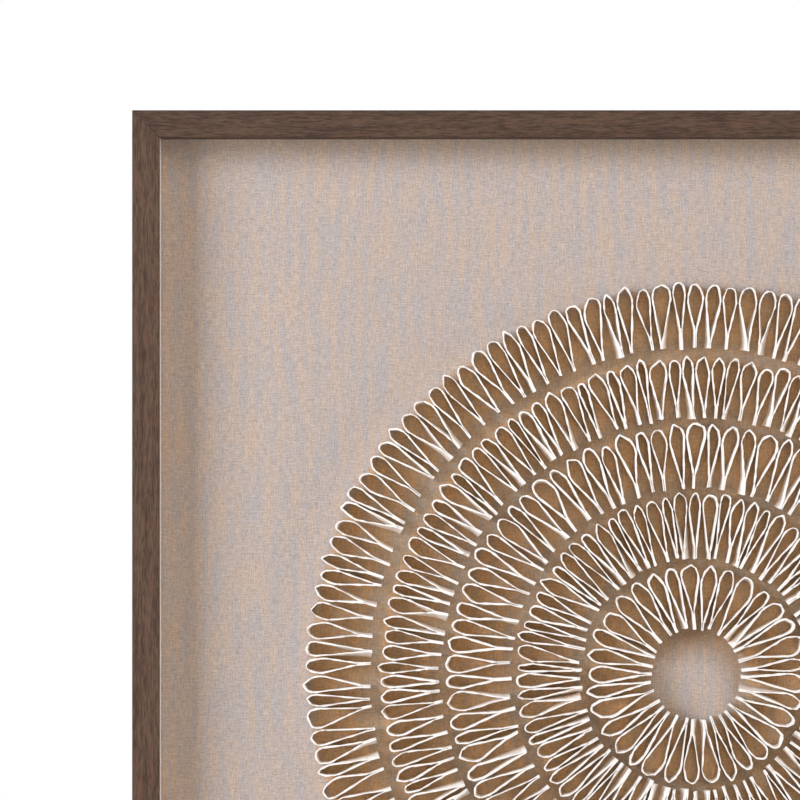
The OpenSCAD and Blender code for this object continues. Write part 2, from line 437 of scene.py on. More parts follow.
@dataclass(frozen=True)
class LinenWeave:
    """Plain-woven linen with heathered yarns, with warm brown shade painted under the rings and on the
    upper side of the eye.
    """

    warm: Colour = (0.560, 0.434, 0.348)
    cool: Colour = (0.472, 0.418, 0.398)
    # Painted shade colours: the first darkens the gaps between the rings, the second tints the linen warm
    # brown under the loops, the third darkens the eye next to the loops' tails.
    painted_gap_shade: Colour = (0.88, 0.785, 0.63)
    painted_well_bounce: Colour = (1.15, 0.935, 0.645)
    painted_tail_shadow: Colour = (0.70, 0.575, 0.43)
    pitch: float = 0.92
    stripe: float = 9.8
    stray: float = 3.2
    warp_stray: Mottle = Mottle((45.0, 45.0, 1.0), detail=3.0, roughness=0.6)
    weft_stray: Mottle = Mottle((45.0, 45.0, 1.0), (5.0, 9.0, 0.0), 3.0, 0.6)
    heather_apart: float = 7.31
    heather_rates: Pair = (0.035, 0.05)
    streak: Mottle = Mottle((270.0, 26.0, 1.0), detail=1.0, roughness=0.4)
    drawn: Mottle = Mottle((16.0, 9.0, 1.0), (2.0, 6.0, 0.0), 0.0)
    uneven: Mottle = Mottle((60.0, 22.0, 1.0), (8.0, 3.0, 0.0), 1.0)
    stripe_weights: Span = (2.2, 0.8)
    hue_weights: Span = (0.42, 0.45, 0.028)
    hue_span: Span = (0.325, 0.545)
    upright_slub: Mottle = Mottle((1100.0, 200.0, 1.0), (3.0, 1.0, 0.0), 2.0, 0.6)
    level_slub: Mottle = Mottle((240.0, 900.0, 1.0), (1.0, 7.0, 0.0), 2.0, 0.6)
    fleck: Mottle = Mottle((1900.0, 1900.0, 1.0), (4.0, 2.0, 0.0), 0.0)
    shade_weights: Span = (0.62, 0.75, 0.16)
    shade: float = 0.90
    slub_rise: float = 0.8
    # Painted shade on the eye: its bare middle is set lower and to the left, so its upper side takes the
    # shade colour.
    eye: Pair = (14.0, 36.0)
    eye_shade_shift: Pair = (4.0, 12.0)
    eye_fade: float = 7.0
    hollow_ends: Pair = (3.0, -1.0)
    rim: Pair = (225.5, 219.5)
    well_start: Pair = (0.04, 0.26)
    well_end: Pair = (0.92, 0.82)
    relief: float = 0.15

    def material(self) -> Material:
        """Builds the cloth.

        Returns:
            The material.
        """
        coat = Coat.start("linen_weave")
        wire = coat.wiring
        bare, relief = self._woven(wire, wire.add("ShaderNodeUVMap", uv_map="cut").outputs[0])
        return coat.set(Base_Color=self._painted_shade(wire, coat.place, bare), Roughness=0.92,
                        Specular_IOR_Level=0.15, Sheen_Weight=0.08, Sheen_Roughness=0.5,
                        Normal=wire.bump(relief, self.relief, strength=0.8))

    def _woven(self, wire: Wiring, flat: Socket) -> tuple[Socket, Socket]:
        """Weaves the bare cloth.

        Args:
            wire: The material's wiring.
            flat: The place on the flat cloth, in metres.

        Returns:
            The cloth's colour and the height of its relief.
        """
        u, v, _ = wire.split(wire.vector("SCALE", flat, 1.0 / (self.pitch * MM)))
        yarns = []
        for straight, stray in ((u, self.warp_stray), (v, self.weft_stray)):
            aside = wire.minus(stray.read(wire, flat), 0.5)
            yarns.append(wire.plus(straight, wire.times(aside, self.stray)))
        warp, weft = (wire.math("FLOOR", yarn) for yarn in yarns)
        over = wire.math("MODULO", wire.math("ABSOLUTE", wire.plus(warp, weft)), 2.0)
        height = wire.pick(over, *(self._round(wire, yarn) for yarn in yarns))
        tones = ((warp, v, self.heather_rates[0]), (weft, u, self.heather_rates[1]))
        heather = wire.pick(over, *(self._heather(wire, *tone) for tone in tones))
        marks = (self.streak, self.drawn, self.uneven, self.upright_slub, self.level_slub, self.fleck)
        streak, drawn, uneven, upright, level, fleck = (mark.read(wire, flat) for mark in marks)
        sway = wire.weigh((drawn, uneven), self.stripe_weights)
        row = wire.plus(wire.times(u, self.pitch / self.stripe), sway)
        stripe = wire.math("SINE", wire.times(row, 2.0 * math.pi))
        hue = wire.weigh((heather, streak, stripe), self.hue_weights)
        cloth = wire.blend(wire.span(hue, *self.hue_span), self.cool, self.warm)
        slub = wire.minus(wire.plus(upright, level), 1.0)
        fleck = wire.minus(fleck, 0.5)
        shade = wire.plus(wire.weigh((slub, fleck, height), self.shade_weights), self.shade)
        cloth = wire.blend(1.0, cloth, wire.grey(shade), "MULTIPLY")
        return cloth, wire.plus(height, wire.times(slub, self.slub_rise))

    def _painted_shade(self, wire: Wiring, place: Socket, cloth: Socket) -> Socket:
        """Paints warm brown shade under the rings and on the upper side of the eye, and leaves the rest of
        the eye bare.

        Args:
            wire: The material's wiring.
            place: The surface point.
            cloth: The bare cloth's colour.

        Returns:
            The cloth with its painted shade.
        """
        x, _, z = wire.split(place)
        up = wire.minus(z, BOX.middle * MM)
        left, drop = (wire.plus(part, shift * MM) for part, shift in zip((x, up), self.eye_shade_shift))
        # The shade is painted around a centre set low in the eye, so the eye's upper side is shaded.
        inside = wire.span_mm(self._reach(wire, left, drop), *self.eye)
        out = self._reach(wire, x, up)
        inside = wire.math("MAXIMUM", inside, wire.span_mm(out, BOX.eye_r, BOX.eye_r + self.eye_fade))
        within = wire.span_mm(out, *self.rim)
        # Painted shade: darker in the gaps between the rings than under the loops.
        rings_out = wire.math("DIVIDE", wire.minus(out, BOX.eye_r * MM), BOX.ring_pitch * MM)
        ring = wire.math("FRACT", rings_out)
        under = wire.times(wire.span(ring, *self.well_start), wire.span(ring, *self.well_end))
        tone = wire.blend(under, self.painted_gap_shade, self.painted_well_bounce)
        # Painted shadow of the tails on the rim of the eye.
        near = wire.span_mm(out, *(BOX.eye_r + end for end in self.hollow_ends))
        tone = wire.blend(near, tone, self.painted_tail_shadow)
        shaded_cloth = wire.blend(1.0, cloth, tone, "MULTIPLY")
        return wire.blend(wire.times(inside, within), cloth, shaded_cloth)

    @staticmethod
    def _round(wire: Wiring, yarn: Socket) -> Socket:
        """Gives the rounded height across each yarn, from 0 between yarns to 1 on top of one."""
        offset = wire.minus(wire.math("FRACT", yarn), 0.5)
        return wire.minus(1.0, wire.times(wire.times(offset, offset), 4.0))

    def _heather(self, wire: Wiring, yarn: Socket, along: Socket, rate: float) -> Socket:
        """Gives a yarn, by its number, its own tone, which drifts at a rate along its length."""
        spot = wire.join(wire.times(yarn, self.heather_apart), wire.times(along, rate))
        return wire.noise(spot, 1.0, 2, 0.6)

    @staticmethod
    def _reach(wire: Wiring, a: Socket, b: Socket) -> Socket:
        """Gives a point's distance from the origin of its plane."""
        squares = wire.plus(wire.times(a, a), wire.times(b, b))
        return wire.math("SQRT", squares)


@dataclass(frozen=True)
class StripPaper:
    """Off-white hand-cut paper with long fibres, painted whitest at its top edge and tan towards its foot
    as painted shade.
    """

    cut: Colour = (0.970, 0.915, 0.852)
    face: Colour = (0.945, 0.857, 0.775)
    fibre: Colour = (0.86, 0.752, 0.662)
    # Painted shade colour, laid towards the foot of each strip.
    foot: Colour = (0.70, 0.54, 0.41)
    pulp: Mottle = Mottle((520.0, 520.0, 520.0), detail=4.0, roughness=0.65)
    strands: Mottle = Mottle((230.0, 1500.0, 230.0), detail=3.0, roughness=0.6)
    pulp_span: Span = (0.5, 0.82, 0.0, 0.35)
    strand_span: Span = (0.54, 0.76, 0.0, 0.45)
    cut_rise: Pair = (11.5, 12.7)
    foot_shade_h: float = 3.2
    foot_shade_strength: float = 0.7
    ragged: float = 3.0
    strand_rise: float = 0.8
    relief: float = 0.10

    def material(self) -> Material:
        """Builds the paper.

        Returns:
            The material.
        """
        coat = Coat.start("strip_paper")
        wire = coat.wiring
        place = coat.place
        pulp, strands = (mark.read(wire, place) for mark in (self.pulp, self.strands))
        _, y, _ = wire.split(place)
        ragged = wire.times(wire.minus(pulp, 0.5), self.ragged * MM)
        # Painted light and shade along the strip's height: the faces are creamier and darker than the top
        # edge.
        white = wire.span_mm(y, *(BOX.linen_y - rise for rise in self.cut_rise))
        tone = wire.blend(white, self.face, self.cut)
        tone = wire.blend(wire.span(pulp, *self.pulp_span), tone, self.fibre)
        tone = wire.blend(wire.span(strands, *self.strand_span), tone, self.fibre)
        # Painted shade: tan towards the foot, with a ragged line, where the loops shade the paper near the
        # linen.
        foot_shade = wire.span_mm(wire.plus(y, ragged), BOX.linen_y - self.foot_shade_h, BOX.linen_y,
                             0.0, self.foot_shade_strength)
        tone = wire.blend(foot_shade, tone, self.foot)
        relief = wire.plus(pulp, wire.times(strands, self.strand_rise))
        return coat.set(Base_Color=tone, Roughness=0.88, Specular_IOR_Level=0.2,
                        Normal=wire.bump(relief, self.relief))


@dataclass(frozen=True)
class PressedBoard:
    """Pressed fibre sheet with mottled fibres and a faint screen mark."""

    name: str
    base: Colour
    fleck: Colour
    screen: float = 0.0
    screen_pitch: float = 1.8
    mottle: Mottle = Mottle((240.0, 240.0, 240.0), detail=5.0, roughness=0.65)
    shreds: Mottle = Mottle((900.0, 900.0, 260.0), detail=3.0, roughness=0.6)
    mottle_span: Pair = (0.3, 0.7)
    shred_span: Span = (0.6, 0.75, 0.0, 0.4)
    rough_ends: Pair = (0.78, 0.62)
    relief: float = 0.12

    def material(self) -> Material:
        """Builds the board.

        Returns:
            The material.
        """
        coat = Coat.start(self.name)
        wire = coat.wiring
        place = coat.place
        mottle, shreds = (mark.read(wire, place) for mark in (self.mottle, self.shreds))
        tone = wire.blend(wire.span(mottle, *self.mottle_span), self.base, self.fleck)
        tone = wire.blend(wire.span(shreds, *self.shred_span), tone, self.fleck)
        x, _, z = wire.split(wire.vector("SCALE", place, 2.0 * math.pi / (self.screen_pitch * MM)))
        mesh = wire.times(wire.math("SINE", x), wire.math("SINE", z))
        relief = wire.plus(shreds, wire.times(mesh, self.screen))
        return coat.set(Base_Color=tone, Roughness=wire.span(mottle, *self.mottle_span, *self.rough_ends),
                        Specular_IOR_Level=0.3, Normal=wire.bump(relief, self.relief))


@dataclass(frozen=True)
class PlatedSteel:
    """Sheet steel or wire with a plated skin."""

    name: str
    bright: Colour
    dull: Colour
    roughness: float = 0.24
    cloud_roughness: float = 0.22
    cloud: Mottle = Mottle((420.0, 420.0, 420.0), detail=3.0, roughness=0.6)
    rolled: Mottle = Mottle((300.0, 5200.0, 5200.0))
    cloud_span: Pair = (0.35, 0.7)
    relief: float = 0.02

    def material(self) -> Material:
        """Builds the plating.

        Returns:
            The material.
        """
        coat = Coat.start(self.name)
        wire = coat.wiring
        place = coat.place
        cloud, rolled = (mark.read(wire, place) for mark in (self.cloud, self.rolled))
        tone = wire.blend(wire.span(cloud, *self.cloud_span), self.bright, self.dull)
        gloss = wire.plus(wire.times(cloud, self.cloud_roughness), self.roughness)
        return coat.set(Base_Color=tone, Metallic=1.0, Roughness=gloss,
                        Normal=wire.bump(rolled, self.relief, strength=0.6))


@dataclass(frozen=True)
class BumperRubber:
    """Dark moulded rubber, dusty in its pits."""

    base: Colour = (0.026, 0.023, 0.021)
    dust: Colour = (0.075, 0.068, 0.062)
    cloud: Mottle = Mottle((700.0, 700.0, 700.0), detail=4.0, roughness=0.6)
    grit: Mottle = Mottle((4200.0, 4200.0, 4200.0))
    dust_span: Span = (0.45, 0.75, 0.0, 0.7)
    rough_span: Span = (0.3, 0.7, 0.66, 0.85)
    relief: float = 0.04

    def material(self) -> Material:
        """Builds the rubber.

        Returns:
            The material.
        """
        coat = Coat.start("bumper_rubber")
        wire = coat.wiring
        place = coat.place
        cloud, grit = (mark.read(wire, place) for mark in (self.cloud, self.grit))
        tone = wire.blend(wire.span(cloud, *self.dust_span), self.base, self.dust)
        return coat.set(Base_Color=tone, Roughness=wire.span(cloud, *self.rough_span),
                        Specular_IOR_Level=0.35, Normal=wire.bump(grit, self.relief, strength=0.7))


class Corner(Enum):
    """Places along a folded strip, from one end round to the other."""

    END = "end"
    PINCH = "pinch"
    FLANK = "flank"
    SHOULDER = "shoulder"
    CREST = "crest"
    TIP = "tip"


class TipFold(Enum):
    """How the top of a loop was bent by hand."""

    POINTED = "pointed"
    ROUND = "round"
    FLAT = "flat"


BEND_RADIUS = {
    TipFold.POINTED: {Corner.TIP: 0.6, Corner.CREST: 3.5, Corner.SHOULDER: 12.0},
    TipFold.ROUND: {Corner.TIP: 2.6, Corner.CREST: 2.4, Corner.SHOULDER: 11.0},
    TipFold.FLAT: {Corner.TIP: 7.0, Corner.CREST: 0.6, Corner.SHOULDER: 8.0},
}
BEND_STEPS = {Corner.TIP: 4, Corner.CREST: 3, Corner.SHOULDER: 4, Corner.PINCH: 2}
FREE_CORNERS = (Corner.END, Corner.PINCH, Corner.FLANK)
PAIRED_CORNERS = (Corner.END, Corner.PINCH)
FLANK_SHARES = (0.10, 0.25, 0.37, 0.53, 0.68, 0.84)
PINCH_RADIUS = 18.0
GOLDEN = 0.6180339887
PLASTIC = 0.7548776662
SILVER = 0.5698402910
SHADY_SIDE = Vector((0.92, -0.38, 0.0))
LINE_VALUES = {"bend_radius": "FLOAT", "bend_steps": "INT", "lean": "FLOAT_VECTOR", "slack": "FLOAT",
               "girth": "FLOAT"}
RING_NODES = ("loop_ring_outer", "loop_ring_second", "loop_ring_middle", "loop_ring_fourth",
              "loop_ring_inner")


@dataclass(frozen=True)
class StripPoint:
    """One corner of a folded strip in its loop's own cell, in millimetres."""

    corner: Corner
    out: float
    aside: float


@dataclass(frozen=True)
class LoopRule:
    """Lays out every loop of the rings, by the rule of the part's source."""

    counts: tuple[int, ...] = (134, 124, 82, 74, 33)
    eye_r: float = BOX.eye_r
    ring_pitch: float = BOX.ring_pitch
    ring_gap: float = 1.0
    outer_gap: float = 3.6
    strip_t: float = 0.7
    loop_gap: float = 0.1
    ply_gap: float = 0.1
    cell_play: float = 0.34
    tail: Pair = (0.0, 0.05)
    tip: Pair = (0.95, 1.0)
    pinch: Pair = (0.08, 0.28)
    shoulder: Pair = (0.7, 0.85)
    crest: Pair = (0.5, 0.74)
    brow: Pair = (0.46, 0.84)
    belly: Pair = (0.96, 1.0)
    tip_place: Pair = (0.24, 0.76)
    tail_sway: float = 0.8
    pinch_pull: float = 1.5
    slight_lean: float = 0.9
    full_lean: float = 2.8
    full_lean_from: float = 0.55
    lean_to_light: float = 0.35
    top_splay: Pair = (-0.2, 1.3)
    folds: tuple[tuple[TipFold, float], ...] = (
        (TipFold.POINTED, 0.3), (TipFold.ROUND, 0.82), (TipFold.FLAT, 1.0))
    heft: Span = (1.06, 1.12, 1.20, 1.04, 1.22)
    pair_heft: float = 1.12
    strip_girth: Pair = (0.86, 1.34)
    girth_play: float = 0.22

    @staticmethod
    def scatter(number: int, salt: int) -> float:
        """Gives a loop's uneven value, from 0 to 1; the salt says which of its values."""
        return (number * number * GOLDEN + number * salt * PLASTIC + salt * SILVER) % 1.0

    @staticmethod
    def mix(ends: Pair, share: float) -> float:
        """Gives the value at a share of the way between two ends."""
        return ends[0] + (ends[1] - ends[0]) * share

    def tail_r(self, ring: int) -> float:
        """Gives the radius where a ring's tails start."""
        return self.eye_r + (len(self.counts) - 1 - ring) * self.ring_pitch

    def reach(self, ring: int) -> float:
        """Gives how far a ring's loops reach out from where their tails start."""
        return self.ring_pitch - (self.outer_gap if ring == 1 else self.ring_gap)

    def cell_edge(self, number: int, ring: int) -> float:
        """Gives the angle in radians between a loop's cell and the one before."""
        play = self.cell_play * (self.scatter(number % self.counts[ring], ring + 1) - 0.5)
        return math.radians((number + play) * 360.0 / self.counts[ring])

    def strip(self, number: int, ring: int, half: float) -> list[StripPoint]:
        """Lays out one folded strip in its cell.

        Args:
            number: The loop's number.
            ring: The ring, counted from the outside.
            half: Half the angle of its cell.

        Returns:
            The strip's corners from end to end.
        """
        total = len(self.counts)
        s = [self.scatter(number + 1, total * i + ring) for i in range(1, 14)]
        tail_r = self.tail_r(ring)
        reach = self.reach(ring)
        start = tail_r + reach * self.mix(self.tail, s[0])
        tip = tail_r + reach * self.mix(self.tip, s[1])
        pinch = tail_r + reach * self.mix(self.pinch, s[2])
        room = math.tan(half)
        edge = self.strip_t / 2 + self.loop_gap
        shoulders = [tail_r + reach * self.mix(self.shoulder, s[3 + i]) for i in (0, 1)]
        bellies = [(shoulders[i] * room - edge) * self.mix(self.belly, s[5 + i]) for i in (0, 1)]
        crests = [shoulders[i] + (tip - shoulders[i]) * self.mix(self.crest, s[7 + i]) for i in (0, 1)]
        brows = [bellies[i] * self.mix(self.brow, s[9 + i]) for i in (0, 1)]
        ply = (self.strip_t + self.ply_gap) / 2
        tail_v = (2 * s[11] - 1) * self.tail_sway * max(0.0, start * room - edge - ply)
        pinch_v = tail_v * (1 - self.pinch_pull * (pinch - start) / reach)
        tip_v = -brows[1] + (brows[0] + brows[1]) * self.mix(self.tip_place, s[12])
        points = []
        for side, i in ((1, 0), (-1, 1)):
            foot, head = (pinch, pinch_v + side * ply), (shoulders[i], side * bellies[i])
            flank = [StripPoint(Corner.FLANK, self.mix((foot[0], head[0]), share),
                                self.mix((foot[1], head[1]), share)) for share in FLANK_SHARES]
            points.append([
                StripPoint(Corner.END, start, tail_v + side * ply),
                StripPoint(Corner.PINCH, *foot), *flank,
                StripPoint(Corner.SHOULDER, *head),
                StripPoint(Corner.CREST, crests[i], side * brows[i]),
            ])
        return points[0] + [StripPoint(Corner.TIP, tip, tip_v)] + points[1][::-1]

    def lean(self, number: int, ring: int, half: float, tail: StripPoint) -> float:
        """Says how far a loop's tail leans over sideways.

        Args:
            number: The loop's number.
            ring: The ring, counted from the outside.
            half: Half the angle of its cell.
            tail: An end of its strip.

        Returns:
            The sideways distance between the tail's front edge and its foot, mostly away from the light.
        """
        urge = self.scatter(number + 3, 7 * ring + 29)
        way = 1.0 if self.scatter(number + 5, 3 * ring + 41) > self.lean_to_light else -1.0
        strong = max(0.0, urge - self.full_lean_from) / (1.0 - self.full_lean_from)
        wanted = self.slight_lean * urge + self.full_lean * strong
        free = tail.out * math.tan(half) - abs(tail.aside) - self.strip_t / 2 - self.loop_gap
        return way * min(wanted, 2.0 * max(0.0, free))

    def splay(self, number: int, ring: int) -> float:
        """Says how far the top of a loop leans outwards, in millimetres."""
        return self.mix(self.top_splay, self.scatter(number + 11, 5 * ring + 83))

    def fold(self, number: int, ring: int) -> TipFold:
        """Says how the top of a loop is bent."""
        chance = self.scatter(number + 7, 5 * ring + 53)
        return next(fold for fold, below in self.folds if chance < below)

    def girth(self, number: int, ring: int, place: int, corner: Corner) -> float:
        """Says how thick a hand-cut strip is at one point, against its usual thickness.

        Args:
            number: The loop's number.
            ring: The ring, counted from the outside.
            place: Which point of the strip.
            corner: What kind of point it is.

        Returns:
            The factor on the thickness.
        """
        if corner in PAIRED_CORNERS:
            return self.pair_heft
        strip = self.mix(self.strip_girth, self.scatter(number + 2, 3 * ring + 61))
        point = self.girth_play * (self.scatter(17 * number + place, ring + 71) - 0.5)
        return self.heft[ring] * (strip + point)


def placed(name: str, data: bpy.types.ID) -> Piece:
    """Makes an object and adds it to the scene.

    Args:
        name: The object's name.
        data: Its mesh, lamp or lens.

    Returns:
        The object, at the origin.
    """
    made = bpy.data.objects.new(name, data)
    bpy.context.scene.collection.objects.link(made)
    return made


class LoopSweep:
    """The tree that turns the rings' folded lines into standing paper strips."""

    sway_rate: float = 170.0
    tuft_rate: float = 900.0
    tuft_span: Span = (0.58, 0.74)
    burr_rate: float = 520.0
    burr_span: Span = (0.36, 0.64, -1.0, 1.0)
    trim_rate: float = 120.0
    keen_angle: float = math.radians(34.0)

    def __init__(self) -> None:
        """Builds the tree with its named inputs."""
        self.tree = bpy.data.node_groups.new("folded_strip_sweep", "GeometryNodeTree")
        self.wire = Wiring(self.tree)
        face = self.tree.interface
        face.new_socket("Geometry", in_out="INPUT", socket_type="NodeSocketGeometry")
        self.sizes: dict[str, str] = {}
        for name in ("Strip height", "Strip thickness", "Cut edge", "Wobble", "Burr", "Trim", "Seed"):
            socket = face.new_socket(name, in_out="INPUT", socket_type="NodeSocketFloat")
            self.sizes[name] = socket.identifier
        paper = face.new_socket("Paper", in_out="INPUT", socket_type="NodeSocketMaterial")
        self.sizes["Paper"] = paper.identifier
        face.new_socket("Geometry", in_out="OUTPUT", socket_type="NodeSocketGeometry")
        self.given = self.wire.add("NodeGroupInput").outputs
        self._fill()

    def _named(self, name: str, kind: str) -> Socket:
        """Reads a value of a data type that the folded lines carry."""
        node = self.wire.add("GeometryNodeInputNamedAttribute", {"Name": name}, data_type=kind)
        return next(s for s in node.outputs if s.enabled and s.name == "Attribute")

    def _section(self) -> Socket:
        """Draws the strip's section, with its front edges broken by the knife.

        Returns:
            The closed section.
        """
        wire = self.wire
        sides = {"Width": self.given["Strip thickness"], "Height": self.given["Strip height"]}
        oblong = wire.add("GeometryNodeCurvePrimitiveQuadrilateral", sides)
        _, up, _ = wire.split(wire.add("GeometryNodeInputPosition").outputs[0])
        radius = wire.times(wire.math("LESS_THAN", up, 0.0), self.given["Cut edge"])
        corners = {"Curve": oblong.outputs[0], "Count": 1, "Radius": radius}
        return wire.add("GeometryNodeFilletCurve", corners, mode="POLY").outputs[0]

    def _swept(self) -> Socket:
        """Bends the folded lines and sweeps the section along them.

        Returns:
            The strips, straight and even.
        """
        wire = self.wire
        lines = wire.add("GeometryNodeMeshToCurve", {"Mesh": self.given["Geometry"]})
        bends = {"Curve": lines.outputs[0], "Count": self._named("bend_steps", "INT"),
                 "Radius": self._named("bend_radius", "FLOAT"), "Limit Radius": True}
        bent = wire.add("GeometryNodeFilletCurve", bends, mode="POLY")
        level = wire.add("GeometryNodeSetCurveNormal", {"Curve": bent.outputs[0]}, mode="Z_UP")
        sweep = {"Curve": level.outputs[0], "Profile Curve": self._section(), "Fill Caps": True}
        return wire.add("GeometryNodeCurveToMesh", sweep).outputs[0]

    def _offset(self) -> Socket:
        """Works out how far each point of a strip leans, sways, swells and is trimmed.

        Returns:
            The point's offset.
        """
        wire = self.wire
        place = wire.add("GeometryNodeInputPosition").outputs[0]
        _, _, up = wire.split(place)
        rise = wire.plus(wire.math("DIVIDE", up, self.given["Strip height"]), 0.5)
        read = wire.vector("ADD", place, wire.join(z=self.given["Seed"]))
        slack = self._named("slack", "FLOAT")
        tilt = wire.minus(rise, 0.5)
        lean = wire.vector("SCALE", self._named("lean", "FLOAT_VECTOR"), tilt)
        wander = wire.add("ShaderNodeTexNoise", {"Vector": read, "Scale": self.sway_rate, "Detail": 2.0})
        sway = wire.vector("SUBTRACT", wander.outputs["Color"], (0.5, 0.5, 0.5))
        sway = wire.vector("MULTIPLY", sway, (1.0, 1.0, 0.0))
        reach = wire.times(wire.times(self.given["Wobble"], slack), rise)
        sway = wire.vector("SCALE", sway, reach)
        tuft = wire.span(wire.noise(read, self.tuft_rate, 1), *self.tuft_span)
        uneven = wire.span(wire.noise(read, self.burr_rate, 1), *self.burr_span)
        rough = wire.plus(wire.times(tuft, slack), uneven)
        rough = wire.times(wire.times(rough, self.given["Burr"]), rise)
        swell = wire.minus(self._named("girth", "FLOAT"), 1.0)
        swell = wire.times(swell, wire.times(self.given["Strip thickness"], 0.5))
        flat = wire.vector("MULTIPLY", wire.add("GeometryNodeInputNormal").outputs[0], (1.0, 1.0, 0.0))
        burr = wire.vector("SCALE", wire.vector("NORMALIZE", flat), wire.plus(rough, swell))
        most = wire.times(self.given["Trim"], rise)
        drop = wire.times(wire.noise(read, self.trim_rate, 2), most)
        trim = wire.join(z=wire.times(drop, -1.0))
        return wire.vector("ADD", wire.vector("ADD", lean, sway), wire.vector("ADD", burr, trim))

    def _fill(self) -> None:
        """Adds the nodes: sweep the lines, shape the strips, stand them up and give them their paper."""
        wire = self.wire
        shaped = {"Geometry": self._swept(), "Offset": self._offset()}
        moved = wire.add("GeometryNodeSetPosition", shaped)
        soft = {"Geometry": moved.outputs[0], "Shade Smooth": True}
        smooth = wire.add("GeometryNodeSetShadeSmooth", soft)
        angle = wire.add("GeometryNodeInputMeshEdgeAngle").outputs["Unsigned Angle"]
        keen = wire.add("FunctionNodeCompare", {0: angle, 1: self.keen_angle}, data_type="FLOAT",
                        operation="GREATER_THAN")
        edges = {"Geometry": smooth.outputs[0], "Selection": keen.outputs[0], "Shade Smooth": False}
        sharp = wire.add("GeometryNodeSetShadeSmooth", edges, domain="EDGE")
        middle = wire.plus(wire.times(self.given["Strip height"], -0.5), BOX.linen_y * MM)
        pose = {"Geometry": sharp.outputs[0], "Translation": wire.join(0.0, middle, BOX.middle * MM),
                "Rotation": (math.pi / 2, 0.0, 0.0)}
        stood = wire.add("GeometryNodeTransform", pose)
        whole = wire.add("GeometryNodeRealizeInstances", {"Geometry": stood.outputs[0]})
        dress = {"Geometry": whole.outputs[0], "Material": self.given["Paper"]}
        wire.add("NodeGroupOutput", {0: wire.add("GeometryNodeSetMaterial", dress).outputs[0]})

    def apply(self, name: str, lines: bpy.types.Mesh, sizes: dict[str, Feed]) -> Piece:
        """Sweeps a mesh of folded lines into one plain mesh.

        Args:
            name: The finished piece's name.
            lines: The folded lines.
            sizes: A value for each of the tree's inputs.

        Returns:
            The finished piece, at the origin.
        """
        maker = placed(f"{name}_lines", lines)
        sweep = maker.modifiers.new("sweep", "NODES")
        sweep.node_group = self.tree
        for key, value in sizes.items():
            sweep[self.sizes[key]] = value
        bpy.context.view_layer.update()
        graph = bpy.context.evaluated_depsgraph_get()
        mesh = bpy.data.meshes.new_from_object(maker.evaluated_get(graph), depsgraph=graph)
        mesh.name = name
        maker.modifiers.remove(sweep)
        bpy.data.objects.remove(maker)
        bpy.data.meshes.remove(lines)
        return placed(name, mesh)


@dataclass
class LoopRing:
    """One ring of paper loops that stand on the linen."""

    node: str
    ring: int
    rule: LoopRule
    sweep: LoopSweep
    paper: Material
    cut_edge: float = 0.1
    wobble: float = 0.5
    burr: float = 0.2
    trim: float = 0.45
    bent_slack: float = 0.25

    def lines(self) -> bpy.types.Mesh:
        """Lays out the ring's folded strips as bare lines.

        Returns:
            A mesh of lines with each point's bend, lean, slack and thickness.
        """
        points: list[Vector] = []
        edges: list[tuple[int, int]] = []
        values: dict[str, list[float]] = {name: [] for name in LINE_VALUES}
        for number in range(self.rule.counts[self.ring]):
            low = self.rule.cell_edge(number, self.ring)
            high = self.rule.cell_edge(number + 1, self.ring)
            middle, half = (low + high) / 2, (high - low) / 2
            outward = Vector((math.cos(middle), math.sin(middle), 0.0))
            aside = Vector((-outward.y, outward.x, 0.0))
            strip = self.rule.strip(number, self.ring, half)
            lean = self.rule.lean(number, self.ring, half, strip[0])
            bends = {Corner.PINCH: PINCH_RADIUS, **BEND_RADIUS[self.rule.fold(number, self.ring)]}
            toward = 1.0 if aside.dot(SHADY_SIDE) > 0 else -1.0
            splay = self.rule.splay(number, self.ring)
            top = min(spot.out for spot in strip if spot.corner is Corner.SHOULDER)
            first = len(points)
            for place, spot in enumerate(strip):
                free = spot.corner in FREE_CORNERS
                share = (top - spot.out) / (top - strip[0].out) if free else 0.0
                over = 0.0 if free else splay
                points.append((outward * spot.out + aside * spot.aside) * MM)
                values["bend_radius"].append(bends.get(spot.corner, 0.0) * MM)
                values["bend_steps"].append(BEND_STEPS.get(spot.corner, 0))
                values["lean"].extend(aside * (toward * lean * share * MM) + outward * (over * MM))
                values["slack"].append(1.0 if free else self.bent_slack)
                values["girth"].append(self.rule.girth(number, self.ring, place, spot.corner))
            edges.extend((i, i + 1) for i in range(first, len(points) - 1))
        mesh = bpy.data.meshes.new(f"{self.node}_lines")
        mesh.from_pydata(points, edges, [])
        for name, kind in LINE_VALUES.items():
            slot = "vector" if kind == "FLOAT_VECTOR" else "value"
            mesh.attributes.new(name, kind, "POINT").data.foreach_set(slot, values[name])
        return mesh

    def build(self) -> Piece:
        """Makes the ring and puts it in the place of its solid.

        Returns:
            The finished ring.
        """
        sizes = {"Strip height": BOX.strip_h * MM, "Strip thickness": self.rule.strip_t * MM,
                 "Cut edge": self.cut_edge * MM, "Wobble": self.wobble * MM, "Burr": self.burr * MM,
                 "Trim": self.trim * MM, "Seed": float(self.ring), "Paper": self.paper}
        piece = self.sweep.apply(f"{self.node}_strips", self.lines(), sizes)
        return settle(piece, self.node)


